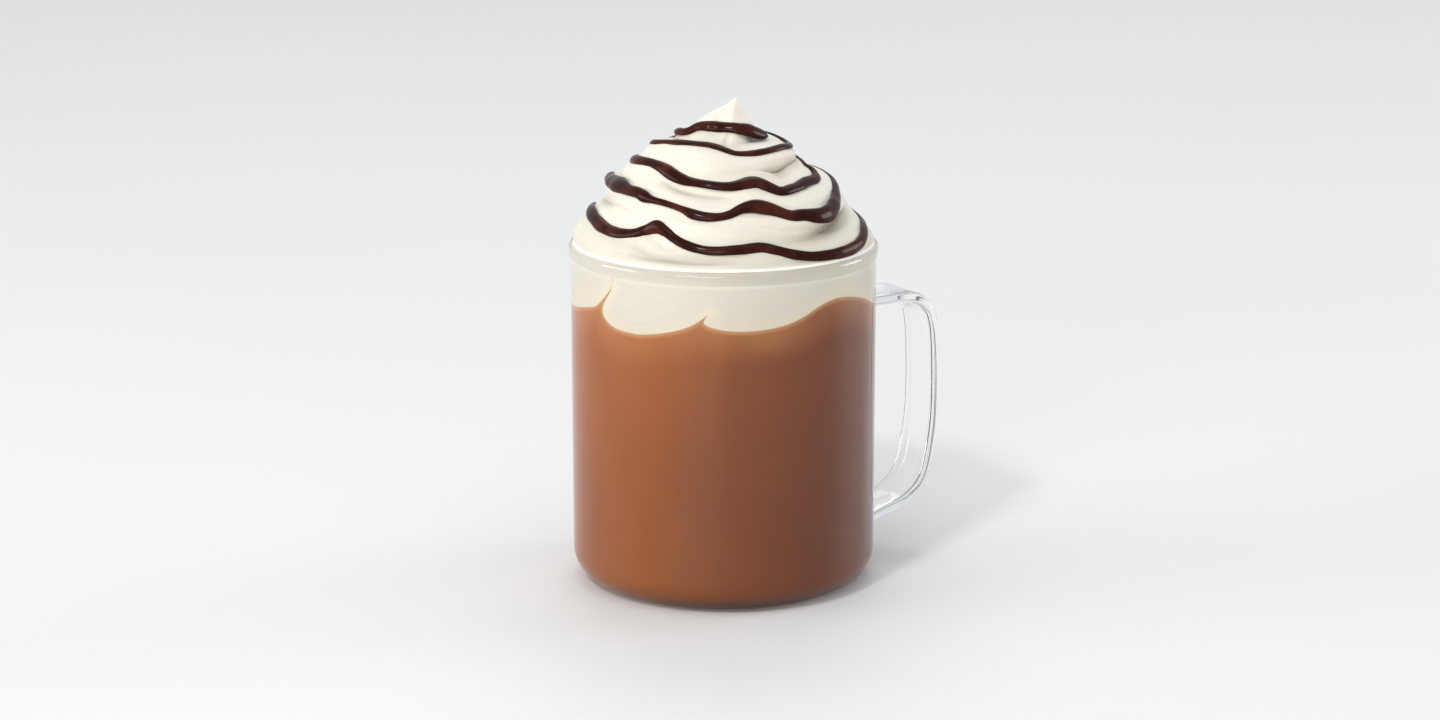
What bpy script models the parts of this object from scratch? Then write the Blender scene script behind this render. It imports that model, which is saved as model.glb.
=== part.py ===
"""Hot chocolate in a clear glass mug, under piped whipped cream with a thick chocolate drizzle.

Metres, +Z up. The origin is on the mug's axis, in the plane it stands on, and the handle points along +X.
Angles are in degrees, counter-clockwise from the handle as seen from above, and lengths are in millimetres.
"""

import bmesh
import bpy
import numpy as np

MM = 0.001
GAP = 0.3
SHARP_ANGLE = 50.0

# Base colours, linear, and roughness
GLASS_COLOUR = (0.9, 0.93, 0.93)
DRINK_COLOUR = (0.32, 0.12, 0.05)
CREAM_COLOUR = (0.85, 0.80, 0.68)
DRIZZLE_COLOUR = (0.03, 0.01, 0.006)
GLASS_ROUGHNESS = 0.03
GLASS_IOR = 1.5
DRINK_ROUGHNESS = 0.35
CREAM_ROUGHNESS = 0.5
DRIZZLE_ROUGHNESS = 0.2

# Glass mug, whose lip swells outwards from LIP_HEIGHT under its top
MUG_RADIUS = 42.0
MUG_HEIGHT = 95.0
WALL = 3.0
BASE_THICKNESS = 3.5
CORNER_RADIUS = 8.7
LIP_RADIUS = 42.6
LIP_HEIGHT = 3.9
LIP_CROWN = 1.4
LIP_SWELL_OUT = 0.45
LIP_SWELL_DROP = 2.65
MUG_STEPS = 40
CORNER_STEPS = 5
LIP_STEPS = 6

# Strap handle, whose middle line is (distance from the axis, height)
STRAP_WIDTH = 14.5
STRAP_THICKNESS = 3.1
STRAP_EDGE_RADIUS = 1.1
STRAP_LINE = [(40.5, 73.7), (50.0, 74.1), (57.0, 74.0), (62.5, 71.2), (65.2, 65.0), (66.1, 49.0),
              (65.5, 35.0), (62.6, 21.5), (57.0, 15.1), (49.0, 12.1), (40.5, 9.6)]
STRAP_STEPS = 3

# Wavy line where the cream meets the drink at the wall: heights by angle, and pointed peaks
# as (angle, rise, half width), which lean by so many degrees for each millimetre of rise.
# The line keeps its wave at the wall and flattens towards the axis, at shares of the fill's radius.
INNER_RADIUS = MUG_RADIUS - WALL
FILL_RADIUS = INNER_RADIUS - GAP
DRINK_LEVEL = 79.5
DRINK_PLAIN_HEIGHT = 60.0
LINE_GAP = 0.39
LINE_WAVE = [(20, 81.6), (40, 79.4), (60, 77.2), (84, 80.6), (106, 78.2), (124, 77.8), (138, 78.9),
             (162, 78.4), (180, 80.4), (188, 80.2), (198, 76.6), (210, 76.5), (228, 79.0), (253, 78.6),
             (268, 80.3), (278, 83.0), (290, 84.7), (303, 83.1), (320, 79.0), (345, 78.6)]
LINE_PEAKS = [(48, 5.0, 3.0), (110, 4.5, 3.0), (189, 6.6, 2.9), (230.5, 4.4, 2.6)]
PEAK_LEAN = 0.42
PEAK_SAMPLES = (-0.9, -0.45, 0.0, 0.45, 0.9)
PEAK_CLEAR_ANGLE = 4.5
RING_SHARES = [0.4, 0.72, 0.86, 0.94, 1.0]

# Whipped cream over the rim: the dome's outline as (radius, height), and how far it sways by height
# towards SWAY_ANGLE. Each crease between its folds is (running angle, distance up the outline, depth).
DOME = [(40.7, 96.3), (39.6, 99.0), (36.8, 102.4), (35.1, 105.8), (32.8, 108.8), (30.3, 112.2),
        (24.5, 116.4), (22.0, 119.4), (17.2, 122.2), (10.3, 125.0), (7.4, 127.2), (5.1, 129.4),
        (3.0, 131.4), (1.35, 133.1), (0.6, 134.0)]
TIP_HEIGHT = 134.5
SWAY_ANGLE = 330.0
SWAY = [(95.5, 0.0), (100, -0.2), (107.5, -0.1), (111, -1.2), (114, -2.5), (117.5, -1.7), (120, -0.6),
        (123, -1.5), (126, 0.0), (129.5, 0.8), (133, 2.9), (134.5, 3.3)]
CREASES = [
    [(200, 5.6, 0.0), (207, 3.4, 0.9), (214, 1.7, 1.4), (224, 0.8, 1.5), (234, 0.9, 1.3), (244, 2.4, 0.8),
     (256, 4.8, 0.6), (268, 6.3, 1.2), (280, 7.2, 2.2), (292, 8.4, 2.9), (305, 9.7, 3.0), (318, 10.8, 2.4),
     (329, 11.3, 0.9), (345, 12.6, 0.6), (370, 14.6, 1.1), (400, 17.0, 1.4), (460, 20.0, 1.3),
     (520, 23.0, 1.0), (575, 25.0, 0.5), (600, 27.0, 0.3), (622, 29.2, 0.5), (640, 29.9, 1.6),
     (655, 29.2, 2.6), (668, 29.8, 2.6), (690, 29.6, 2.1), (720, 30.6, 1.6), (760, 34.0, 1.3),
     (800, 37.0, 1.2), (840, 39.8, 1.4), (870, 41.2, 1.6), (920, 42.0, 0.9), (970, 42.5, 0.8),
     (1020, 43.0, 1.4), (1060, 44.5, 1.0), (1120, 47.5, 0.5), (1180, 49.0, 0.0)],
    [(200, 25.5, 0.0), (212, 24.4, 1.0), (222, 22.8, 1.6), (232, 21.6, 1.5), (242, 20.8, 1.2), (258, 19.8, 0.0)],
    [(202, 8.8, 0.0), (209, 7.3, 0.6), (216, 5.1, 0.7), (226, 3.6, 0.0)],
    [(340, 3.0, 0.0), (380, 4.5, 1.0), (440, 7.5, 1.3), (490, 11.6, 1.7), (512, 13.4, 2.2),
     (530, 14.6, 1.5), (548, 15.4, 0.6), (566, 16.0, 0.0)],
]
CREASE_DEEPENING = 1.2
CREASE_ABOVE = 4.2
CREASE_BELOW = 7.5
CREASE_STEEPNESS = 1.5
CREASE_SOFTNESS = 2.2
FOOT_FADE = 1.5
TIP_FADE = 6.0
# Soft dents: (angle, distance up the outline, half angle, half distance, depth)
DENTS = [(291, 29.4, 13, 3.4, 1.3), (251, 43.6, 5, 2.6, 0.6), (300, 13.5, 17, 2.2, 0.5),
         (236, 18.5, 14, 2.0, 0.4), (208, 32.5, 12, 2.4, 0.35), (262, 10.5, 15, 2.4, 0.35)]
# Broad swells: (depth, waves round the cream, phase, distance up the outline for each radian)
SWELLS = [(0.45, 2, 20, 9.0), (0.35, 3, 130, 6.5), (0.25, 5, 75, 4.0)]
DOME_ROWS = 29
CREAM_STEPS = 48

# Chocolate drizzle, from its lower end up, one list for each lap round the cream:
# (angle, distance up the dome's outline, width)
DRIZZLE_LAPS = [
    [(136, 8.4, 1.2), (150, 8.9, 2.2), (160, 8.7, 2.7), (170, 8.0, 2.8), (180, 7.1, 2.7), (190, 6.9, 2.5),
     (199, 7.8, 2.2), (204, 9.0, 2.3), (210, 10.3, 2.8), (215, 9.2, 2.3), (220, 7.4, 1.9), (227, 5.5, 1.9),
     (235, 4.4, 1.8), (246, 4.6, 2.0), (255, 5.0, 2.4), (261, 3.8, 2.5), (268, 2.0, 2.2), (277, 0.9, 2.1),
     (291, 0.6, 2.6), (300, 1.0, 2.6), (308, 2.2, 2.3), (315, 3.6, 1.9), (322, 4.6, 1.6), (331, 5.2, 1.4),
     (345, 6.5, 1.4), (352, 8.0, 1.8)],
    [(5, 9.2, 2.2), (18, 10.8, 2.4), (30, 11.2, 2.0), (42, 9.9, 1.7), (55, 9.6, 1.9), (68, 11.4, 2.4),
     (80, 13.6, 2.6), (92, 14.2, 2.2), (104, 13.3, 1.8), (114, 13.9, 1.8), (126, 16.4, 2.1), (144, 19.2, 2.8),
     (158, 20.4, 3.6), (168, 20.8, 4.0), (178, 20.5, 3.4), (188, 19.7, 2.4), (196, 19.3, 2.5), (201, 18.4, 2.6),
     (206, 17.7, 1.6), (214, 17.0, 1.4), (222, 15.7, 1.5), (227, 14.3, 2.2), (233, 13.6, 2.2), (239, 13.7, 1.9),
     (244, 14.5, 1.9), (249, 15.9, 2.1), (254, 16.5, 2.8), (258, 16.4, 3.1), (264, 15.3, 2.7), (271, 13.1, 2.4),
     (278, 12.7, 2.9), (287, 11.8, 3.4), (296, 12.2, 3.5), (305, 13.9, 3.1), (317, 15.6, 2.4), (328, 16.9, 2.0),
     (338, 17.6, 1.6), (349, 18.1, 1.5)],
    [(0, 19.2, 1.7), (14, 21.6, 2.2), (26, 23.2, 2.4), (40, 22.9, 1.9), (54, 22.0, 1.7), (68, 23.0, 2.0),
     (82, 25.4, 2.5), (96, 26.0, 2.2), (108, 25.0, 1.8), (120, 25.4, 1.8), (136, 27.4, 2.0), (158, 28.6, 2.3),
     (174, 29.0, 2.2), (187, 29.2, 2.0), (197, 28.8, 2.3), (205, 28.0, 2.7), (213, 26.7, 2.8), (221, 25.6, 2.4),
     (231, 24.5, 2.2), (242, 23.4, 2.4), (249, 23.2, 2.5), (255, 23.8, 2.9), (261, 24.6, 3.3), (266, 24.4, 3.5),
     (271, 22.4, 3.1), (276, 20.4, 2.5), (286, 21.1, 2.5), (302, 22.2, 2.6), (313, 21.8, 2.5), (321, 22.2, 2.1),
     (326, 24.4, 1.6), (330, 26.6, 1.3)],
    [(0, 28.8, 1.4), (20, 29.8, 1.8), (38, 31.4, 2.1), (56, 31.5, 1.7), (74, 31.2, 1.6), (92, 33.0, 2.0),
     (110, 35.0, 2.2), (128, 34.8, 1.8), (146, 35.0, 1.6), (164, 36.0, 1.7), (178, 37.8, 2.0), (189, 38.8, 2.3),
     (203, 39.7, 2.1), (214, 40.3, 2.1), (227, 41.1, 2.3), (239, 40.2, 2.3), (247, 38.3, 2.0), (254, 36.6, 1.8),
     (264, 36.0, 1.7), (278, 35.5, 1.7), (293, 35.2, 1.6), (309, 34.8, 1.8), (324, 34.0, 1.7), (345, 33.8, 1.2)],
    [(5, 34.9, 1.5), (28, 36.8, 1.8), (50, 38.9, 2.1), (75, 40.3, 1.9), (98, 39.6, 1.6), (120, 40.6, 1.8),
     (142, 41.8, 1.9), (162, 42.8, 2.1), (170, 44.2, 2.3), (176, 46.0, 2.3), (196, 47.3, 2.4), (220, 48.0, 2.6),
     (249, 47.4, 2.6), (272, 46.2, 2.9), (297, 45.2, 3.6), (316, 43.4, 3.3), (325, 41.6, 2.6), (329, 40.0, 1.2)],
]
DRIZZLE_FLATNESS = 0.75
DRIZZLE_LIFT = 0.2
SURFACE_STEP = 0.5
DRIZZLE_SIDES = 6
DRIZZLE_STEP = 3.8


def smooth_through(points, steps):
    """A smooth open line through points, as rows, with so many steps between each two."""
    p = np.array(points, float)
    p = np.vstack([2 * p[0] - p[1], p, 2 * p[-1] - p[-2]])
    rows = []
    for a, b, c, d in zip(p[:-3], p[1:-2], p[2:-1], p[3:]):
        for t in np.arange(steps) / steps:
            bend = (2 * a - 5 * b + 4 * c - d) * t**2 + (3 * b - a - 3 * c + d) * t**3
            rows.append(0.5 * (2 * b + (c - a) * t + bend))
    rows.append(p[-2])
    return np.array(rows)


def arc_points(centre, radii, start, end, steps):
    """Points along an elliptical arc in the plane of (radius, height)."""
    turns = np.radians(np.linspace(start, end, steps + 1))
    return [(centre[0] + radii[0] * np.cos(a), centre[1] + radii[1] * np.sin(a)) for a in turns]


def ring_at(angles, radius, height):
    """A ring of points round the axis; angle, radius and height may each vary round it."""
    turns = np.radians(angles)
    radius = np.broadcast_to(radius, turns.shape)
    height = np.broadcast_to(height, turns.shape)
    return np.column_stack([radius * np.cos(turns), radius * np.sin(turns), height])


def new_object(name, bm, colour, roughness, **extra):
    """Turns a bmesh in millimetres into a smooth-shaded object with its own material."""
    bmesh.ops.recalc_face_normals(bm, faces=bm.faces)
    bmesh.ops.scale(bm, vec=(MM, MM, MM), verts=bm.verts)
    mesh = bpy.data.meshes.new(name)
    bm.to_mesh(mesh)
    bm.free()
    mesh.shade_smooth()
    mesh.set_sharp_from_angle(angle=np.radians(SHARP_ANGLE))
    material = bpy.data.materials.new(name)
    material.use_nodes = True
    shader = material.node_tree.nodes["Principled BSDF"]
    shader.inputs["Base Color"].default_value = (*colour, 1.0)
    shader.inputs["Roughness"].default_value = roughness
    shader.inputs["Metallic"].default_value = 0.0
    for socket, value in extra.items():
        shader.inputs[socket].default_value = value
    mesh.materials.append(material)
    thing = bpy.data.objects.new(name, mesh)
    bpy.context.scene.collection.objects.link(thing)
    return thing


def loft(bm, rings, first_end=None, last_end=None, slant=0):
    """Skins rings of equal length with triangles, whose diagonals slant one way or the other.

    An end is closed by a point, or by a flat face if it is None.
    """
    rows = [[bm.verts.new(p) for p in ring] for ring in rings]
    count = len(rows[0])
    for low, high in zip(rows, rows[1:]):
        for i in range(count):
            j = (i + 1) % count
            bm.faces.new((low[i], low[j], high[j if slant else i]))
            bm.faces.new((low[i if slant else j], high[j], high[i]))
    for row, end in ((rows[0], first_end), (rows[-1], last_end)):
        if end is None:
            bm.faces.new(row)
        else:
            tip = bm.verts.new(end)
            for i in range(count):
                bm.faces.new((row[i], row[(i + 1) % count], tip))


def fuse(target, extras):
    """Joins extras to target with one Boolean union on a collection, applies it and removes the extras."""
    group = bpy.data.collections.new(target.name + "_extras")
    bpy.context.scene.collection.children.link(group)
    for extra in extras:
        bpy.context.scene.collection.objects.unlink(extra)
        group.objects.link(extra)
    union = target.modifiers.new("union", "BOOLEAN")
    union.operation = "UNION"
    union.solver = "EXACT"
    union.operand_type = "COLLECTION"
    union.collection = group
    bpy.context.view_layer.update()
    evaluated = target.evaluated_get(bpy.context.evaluated_depsgraph_get())
    joined = bpy.data.meshes.new_from_object(evaluated)
    target.modifiers.clear()
    target.data = joined
    for extra in extras:
        bpy.data.objects.remove(extra)
    bpy.data.collections.remove(group)


def mug_profile():
    """The glass wall's section, from the middle of the base's underside round to its top."""
    corner = (MUG_RADIUS - CORNER_RADIUS, CORNER_RADIUS)
    inner_corner = (corner[0], BASE_THICKNESS + CORNER_RADIUS - WALL)
    inner_radii = (CORNER_RADIUS - WALL, CORNER_RADIUS - WALL)
    lip_middle = ((INNER_RADIUS + LIP_RADIUS) / 2, MUG_HEIGHT - LIP_CROWN)
    lip_radii = ((LIP_RADIUS - INNER_RADIUS) / 2, LIP_CROWN)
    swell = (MUG_RADIUS + LIP_SWELL_OUT, MUG_HEIGHT - LIP_SWELL_DROP)
    profile = [(0.0, 0.0)]
    profile += arc_points(corner, (CORNER_RADIUS, CORNER_RADIUS), -90, 0, CORNER_STEPS)
    profile += [(MUG_RADIUS, MUG_HEIGHT - LIP_HEIGHT), swell]
    profile += arc_points(lip_middle, lip_radii, 0, 180, LIP_STEPS)
    profile += arc_points(inner_corner, inner_radii, 0, -90, CORNER_STEPS)
    profile.append((0.0, BASE_THICKNESS))
    return profile


def mug_body():
    """The turned glass."""
    bm = bmesh.new()
    points = [bm.verts.new((r, 0.0, z)) for r, z in mug_profile()]
    edges = [bm.edges.new(pair) for pair in zip(points, points[1:])]
    bmesh.ops.spin(bm, geom=points + edges, cent=(0, 0, 0), axis=(0, 0, 1), angle=2 * np.pi,
                   steps=MUG_STEPS, use_merge=True)
    bmesh.ops.remove_doubles(bm, verts=bm.verts, dist=0.001)
    clear = {"Transmission Weight": 1.0, "IOR": GLASS_IOR}
    return new_object("glass_mug", bm, GLASS_COLOUR, GLASS_ROUGHNESS, **clear)


def strap_handle():
    """The strap, a flat rounded section swept down its middle line in the plane of X and Z."""
    half_width = STRAP_WIDTH / 2 - STRAP_EDGE_RADIUS
    half_depth = STRAP_THICKNESS / 2 - STRAP_EDGE_RADIUS
    section = []
    for quarter, (side, out) in enumerate(((1, 1), (-1, 1), (-1, -1), (1, -1))):
        middle = (side * half_width, out * half_depth)
        start = 90 * quarter
        section += arc_points(middle, (STRAP_EDGE_RADIUS, STRAP_EDGE_RADIUS), start, start + 90, 2)
    line = smooth_through(STRAP_LINE, STRAP_STEPS)
    along = np.gradient(line, axis=0)
    along /= np.linalg.norm(along, axis=1)[:, None]
    rings = []
    for (x, z), (dx, dz) in zip(line, along):
        rings.append([(x + out * -dz, side, z + out * dx) for side, out in section])
    bm = bmesh.new()
    loft(bm, rings)
    return new_object("strap", bm, GLASS_COLOUR, GLASS_ROUGHNESS)


def line_angles():
    """The angles at which the wavy line is sampled: even steps, and closer ones at each peak."""
    even = np.linspace(0, 360, CREAM_STEPS, endpoint=False)
    clear = [a for a in even if min(abs(a - peak) for peak, rise, width in LINE_PEAKS) > PEAK_CLEAR_ANGLE]
    near = [peak + side * width for peak, rise, width in LINE_PEAKS for side in PEAK_SAMPLES]
    return np.array(sorted(clear + near))


def wavy_ring(angles, share, side):
    """The line between drink and cream at a share of the fill's radius, half a gap to one side of it."""
    wave = np.array(LINE_WAVE)
    wave = np.vstack([wave[-2:] - (360, 0), wave, wave[:2] + (360, 0)])
    smooth = smooth_through(wave, 6)
    level = np.interp(angles, smooth[:, 0], smooth[:, 1])
    rise = np.zeros_like(angles)
    for peak, height, width in LINE_PEAKS:
        rise += height * np.clip(1 - np.abs(angles - peak) / width, 0, None)
    weight = share**3
    turned = angles + PEAK_LEAN * rise * weight
    height = DRINK_LEVEL + (level + rise - DRINK_LEVEL) * weight
    radius = FILL_RADIUS * share
    flat = np.column_stack([np.radians(turned) * radius, height])
    ahead = np.roll(flat, -1, axis=0) - flat
    ahead[-1, 0] += 2 * np.pi * radius
    ahead /= np.linalg.norm(ahead, axis=1)[:, None]
    normal = np.column_stack([-ahead[:, 1], ahead[:, 0]])
    mitre = normal + np.roll(normal, 1, axis=0)
    mitre /= np.linalg.norm(mitre, axis=1)[:, None]
    reach = LINE_GAP / 2 / np.clip((mitre * normal).sum(axis=1), 0.3, 1)
    flat += side * reach[:, None] * mitre
    return ring_at(np.degrees(flat[:, 0] / radius), radius, flat[:, 1])


def drink():
    """The hot chocolate, from the glass's floor up to the wavy line."""
    angles = line_angles()
    corner = (MUG_RADIUS - CORNER_RADIUS, BASE_THICKNESS + CORNER_RADIUS - WALL)
    bend = CORNER_RADIUS - WALL - GAP
    rings = [ring_at(angles, r, z) for r, z in arc_points(corner, (bend, bend), -90, 0, CORNER_STEPS)]
    rings.append(ring_at(angles, FILL_RADIUS, DRINK_PLAIN_HEIGHT))
    rings += [wavy_ring(angles, share, -1) for share in reversed(RING_SHARES)]
    bm = bmesh.new()
    loft(bm, rings, (0, 0, BASE_THICKNESS + GAP), (0, 0, DRINK_LEVEL - LINE_GAP / 2))
    return new_object("hot_chocolate", bm, DRINK_COLOUR, DRINK_ROUGHNESS)


def dome_line():
    """The dome's outline sampled finely: distance along it, radius, height and the outward normal."""
    line = smooth_through(DOME, 8)
    steps = np.gradient(line, axis=0)
    steps /= np.linalg.norm(steps, axis=1)[:, None]
    distance = np.concatenate([[0], np.cumsum(np.linalg.norm(np.diff(line, axis=0), axis=1))])
    return np.column_stack([distance, line, steps[:, 1], -steps[:, 0]])


def crease_relief(angles, distances):
    """How far the creases sink the surface: steeply under the fold above, gently over the one below."""
    relief = np.zeros(angles.shape)
    for crease in CREASES:
        route = smooth_through(crease, 6)
        first = int(np.floor((route[0, 0] - 360) / 360))
        for lap in range(first, int(route[-1, 0] // 360) + 1):
            running = angles + 360 * lap
            on = (running >= route[0, 0]) & (running <= route[-1, 0])
            away = distances - np.interp(running, route[:, 0], route[:, 1])
            depth = np.interp(running, route[:, 0], route[:, 2]) * on
            steep = np.clip(1 - away / CREASE_ABOVE, 0, 1) ** CREASE_STEEPNESS * (away >= 0)
            gentle = np.clip(1 + away / CREASE_BELOW, 0, 1) ** CREASE_SOFTNESS * (away < 0)
            relief = np.maximum(relief, CREASE_DEEPENING * depth * (steep + gentle))
    return relief


def cream_surface(angles, distances):
    """Points on the piped cream at angles and distances up the dome's outline."""
    table = dome_line()
    radius, height, out, up = (np.interp(distances, table[:, 0], table[:, k]) for k in (1, 2, 3, 4))
    relief = crease_relief(angles, distances)
    for depth, waves, phase, length in SWELLS:
        relief = relief + depth * np.sin(np.radians(waves * angles + phase) + distances / length)
    for angle, distance, half_angle, half_distance, depth in DENTS:
        apart = ((angles - angle + 180) % 360 - 180) / half_angle
        relief = relief + depth * np.exp(-apart**2 - ((distances - distance) / half_distance) ** 2)
    fade = np.clip(distances / FOOT_FADE, 0, 1) * np.clip((table[-1, 0] - distances) / TIP_FADE, 0, 1)
    radius = radius - out * relief * fade
    height = height - up * relief * fade
    sway = np.interp(height, *np.array(SWAY).T)
    points = ring_at(angles, radius, height)
    points[:, 0] += sway * np.cos(np.radians(SWAY_ANGLE))
    points[:, 1] += sway * np.sin(np.radians(SWAY_ANGLE))
    return points


def drizzle():
    """The drizzle: a flattened tube that lies half sunk along the cream's surface."""
    knots = [(angle + 360 * lap, distance, width)
             for lap, stretch in enumerate(DRIZZLE_LAPS) for angle, distance, width in stretch]
    route = smooth_through(knots, 12)
    line = cream_surface(route[:, 0], route[:, 1])
    length = np.concatenate([[0], np.cumsum(np.linalg.norm(np.diff(line, axis=0), axis=1))])
    stops = np.linspace(0, length[-1], int(length[-1] / DRIZZLE_STEP))
    angles, distances, widths = (np.interp(stops, length, column) for column in route.T)
    middle = cream_surface(angles, distances)
    upward = cream_surface(angles, distances + SURFACE_STEP) - cream_surface(angles, distances - SURFACE_STEP)
    along = np.gradient(middle, axis=0)
    normal = np.cross(along, upward)
    normal /= np.linalg.norm(normal, axis=1)[:, None]
    across = np.cross(normal, along)
    across /= np.linalg.norm(across, axis=1)[:, None]
    turns = np.radians(np.arange(DRIZZLE_SIDES) * 360 / DRIZZLE_SIDES)
    rings = []
    for point, out, side, width in zip(middle, normal, across, widths):
        wide, deep = width / 2 * side, width / 2 * DRIZZLE_FLATNESS * out
        rings.append([point + DRIZZLE_LIFT * out + np.cos(a) * wide + np.sin(a) * deep for a in turns])
    bm = bmesh.new()
    loft(bm, rings)
    return new_object("drizzle", bm, DRIZZLE_COLOUR, DRIZZLE_ROUGHNESS)


def cream():
    """The whipped cream, from the wavy line up over the rim to its tip."""
    angles = line_angles()
    lip_middle = ((INNER_RADIUS + LIP_RADIUS) / 2, MUG_HEIGHT - LIP_CROWN)
    lip_radii = ((LIP_RADIUS - INNER_RADIUS) / 2 + GAP, LIP_CROWN + GAP)
    rings = [wavy_ring(angles, share, 1) for share in RING_SHARES]
    rings += [ring_at(angles, r, z) for r, z in arc_points(lip_middle, lip_radii, 180, 100, 3)]
    end = dome_line()[-1, 0]
    for distance in np.linspace(0, end, DOME_ROWS):
        rings.append(cream_surface(angles, np.full(len(angles), distance)))
    tip = cream_surface(np.array([0.0]), np.array([end]))[0]
    tip[:2] = rings[-1][:, :2].mean(axis=0)
    tip[2] = TIP_HEIGHT
    bm = bmesh.new()
    loft(bm, rings, (0, 0, DRINK_LEVEL + LINE_GAP / 2), tip, slant=1)
    return new_object("whipped_cream", bm, CREAM_COLOUR, CREAM_ROUGHNESS)


for old in list(bpy.data.objects):
    bpy.data.objects.remove(old)
fuse(mug_body(), [strap_handle()])
drink()
fuse(cream(), [drizzle()])
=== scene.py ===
# %% [markdown]
# # Hot chocolate under whipped cream, in a clear glass mug
# This lesson dresses a plain model of a filled mug. The plain model, called the frame, holds three closed
# solids at their real size: the glass, the drink and the cream. Each of them gets a finer piece with a
# real finish here. Lengths are in millimetres and angles in degrees, counter-clockwise from the handle as
# seen from above, because a maker would measure a mug that way. Blender works in metres, so the last step
# of every piece is a scaling.

import bmesh
import bpy
import numpy as np
from mathutils import Matrix, Vector, noise


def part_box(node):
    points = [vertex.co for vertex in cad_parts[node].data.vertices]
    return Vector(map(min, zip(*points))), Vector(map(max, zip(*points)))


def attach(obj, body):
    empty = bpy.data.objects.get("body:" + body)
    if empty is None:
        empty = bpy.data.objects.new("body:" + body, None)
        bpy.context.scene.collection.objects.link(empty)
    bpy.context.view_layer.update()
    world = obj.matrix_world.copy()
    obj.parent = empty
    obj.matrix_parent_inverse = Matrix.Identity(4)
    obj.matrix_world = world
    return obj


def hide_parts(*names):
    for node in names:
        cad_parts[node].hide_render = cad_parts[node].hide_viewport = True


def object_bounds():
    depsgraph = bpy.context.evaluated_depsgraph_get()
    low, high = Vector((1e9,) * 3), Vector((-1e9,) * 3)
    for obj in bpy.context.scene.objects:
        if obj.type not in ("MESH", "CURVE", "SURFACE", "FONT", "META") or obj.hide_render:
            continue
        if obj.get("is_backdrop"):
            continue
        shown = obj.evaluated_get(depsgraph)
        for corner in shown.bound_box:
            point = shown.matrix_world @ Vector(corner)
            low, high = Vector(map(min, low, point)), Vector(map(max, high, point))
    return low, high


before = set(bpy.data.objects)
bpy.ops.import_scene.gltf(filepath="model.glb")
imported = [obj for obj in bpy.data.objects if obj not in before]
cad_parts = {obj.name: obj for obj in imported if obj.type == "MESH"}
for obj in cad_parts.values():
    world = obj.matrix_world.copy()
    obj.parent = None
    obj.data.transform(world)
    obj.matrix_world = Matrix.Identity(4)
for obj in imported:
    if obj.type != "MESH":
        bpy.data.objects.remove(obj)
cad_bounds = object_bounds()
MM = 0.001
glass_low, glass_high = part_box("glass_mug")
cream_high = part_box("whipped_cream")[1]
print("nodes:", sorted(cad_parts))
print("glass in mm:", [round((b - a) / MM, 1) for a, b in zip(glass_low, glass_high)])

# %% [markdown]
# ## The camera
# The photograph was taken from a little above the rim, with a long lens that hardly narrows the mug
# towards its foot. A camera can be placed by hand until the picture fits. Here it is worked out instead:
# the ellipse of the rim gives the height of the view, and the distance follows from how much the foot
# shrinks. The handle points to the right and 30 degrees away from the viewer, so the camera is turned
# round the mug by that angle.

# %% Place the camera
VIEW_TURN = -30.0
VIEW_RISE = 13.8
VIEW_DISTANCE = 900.0
FOCAL_PIXELS = 3249.0
PICTURE_WIDTH = 1440.0
SENSOR_WIDTH = 36.0
AIM_SIDE = -0.96
AIM_HEIGHT = 61.1

turn_to_view = Matrix.Rotation(np.radians(VIEW_TURN), 3, "Z")
rise = np.radians(VIEW_RISE)
towards_camera = turn_to_view @ Vector((0, -np.cos(rise), np.sin(rise)))
camera = bpy.data.objects.new("camera", bpy.data.cameras.new("camera"))
bpy.context.scene.collection.objects.link(camera)
camera.data.sensor_width = SENSOR_WIDTH
camera.data.lens = SENSOR_WIDTH * FOCAL_PIXELS / PICTURE_WIDTH
aim = turn_to_view @ Vector((AIM_SIDE, 0, AIM_HEIGHT)) * MM
camera.location = aim + towards_camera * VIEW_DISTANCE * MM
camera.rotation_euler = towards_camera.to_track_quat("Z", "Y").to_euler()
bpy.context.scene.camera = camera
print("lens:", round(camera.data.lens, 1), "mm")

# %% [markdown]
# ## Helpers for smooth shapes
# Everything on this mug is either turned on the mug's axis or swept along a line, so two helpers do most
# of the work. One draws a smooth line through a few points. The other stretches a closed skin over a
# stack of rings, which is the same idea as a skin over the ribs of a boat. A subdivision surface could
# also smooth a coarse shape, but rings keep every point where the recipe puts it, and that matters where
# cream meets chocolate.

# %% Smooth lines and rings
def smooth_through(points, steps):
    """A smooth open line through points, as rows, with so many steps between each two."""
    p = np.array(points, float)
    p = np.vstack([2 * p[0] - p[1], p, 2 * p[-1] - p[-2]])
    rows = []
    for a, b, c, d in zip(p[:-3], p[1:-2], p[2:-1], p[3:]):
        for t in np.arange(steps) / steps:
            bend = (2 * a - 5 * b + 4 * c - d) * t**2 + (3 * b - a - 3 * c + d) * t**3
            rows.append(0.5 * (2 * b + (c - a) * t + bend))
    rows.append(p[-2])
    return np.array(rows)


def arc_points(centre, radii, start, end, steps):
    """Points along an elliptical arc in the plane of (radius, height)."""
    turns = np.radians(np.linspace(start, end, steps + 1))
    return [(centre[0] + radii[0] * np.cos(a), centre[1] + radii[1] * np.sin(a)) for a in turns]


def ring_at(angles, radius, height):
    """A ring of points round the axis; angle, radius and height may each vary round it."""
    turns = np.radians(angles)
    radius = np.broadcast_to(radius, turns.shape)
    height = np.broadcast_to(height, turns.shape)
    return np.column_stack([radius * np.cos(turns), radius * np.sin(turns), height])


# %% Skins over rings
CRISP_ANGLE = 60.0


def link_piece(name, mesh):
    """Puts a mesh into the scene as a named piece, shaded smooth, and tells its size."""
    mesh.shade_smooth()
    piece = bpy.data.objects.new(name, mesh)
    bpy.context.scene.collection.objects.link(piece)
    triangles = sum(len(face.vertices) - 2 for face in mesh.polygons)
    print(f"{name}: {len(mesh.vertices)} points, {triangles} triangles")
    return piece


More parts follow.
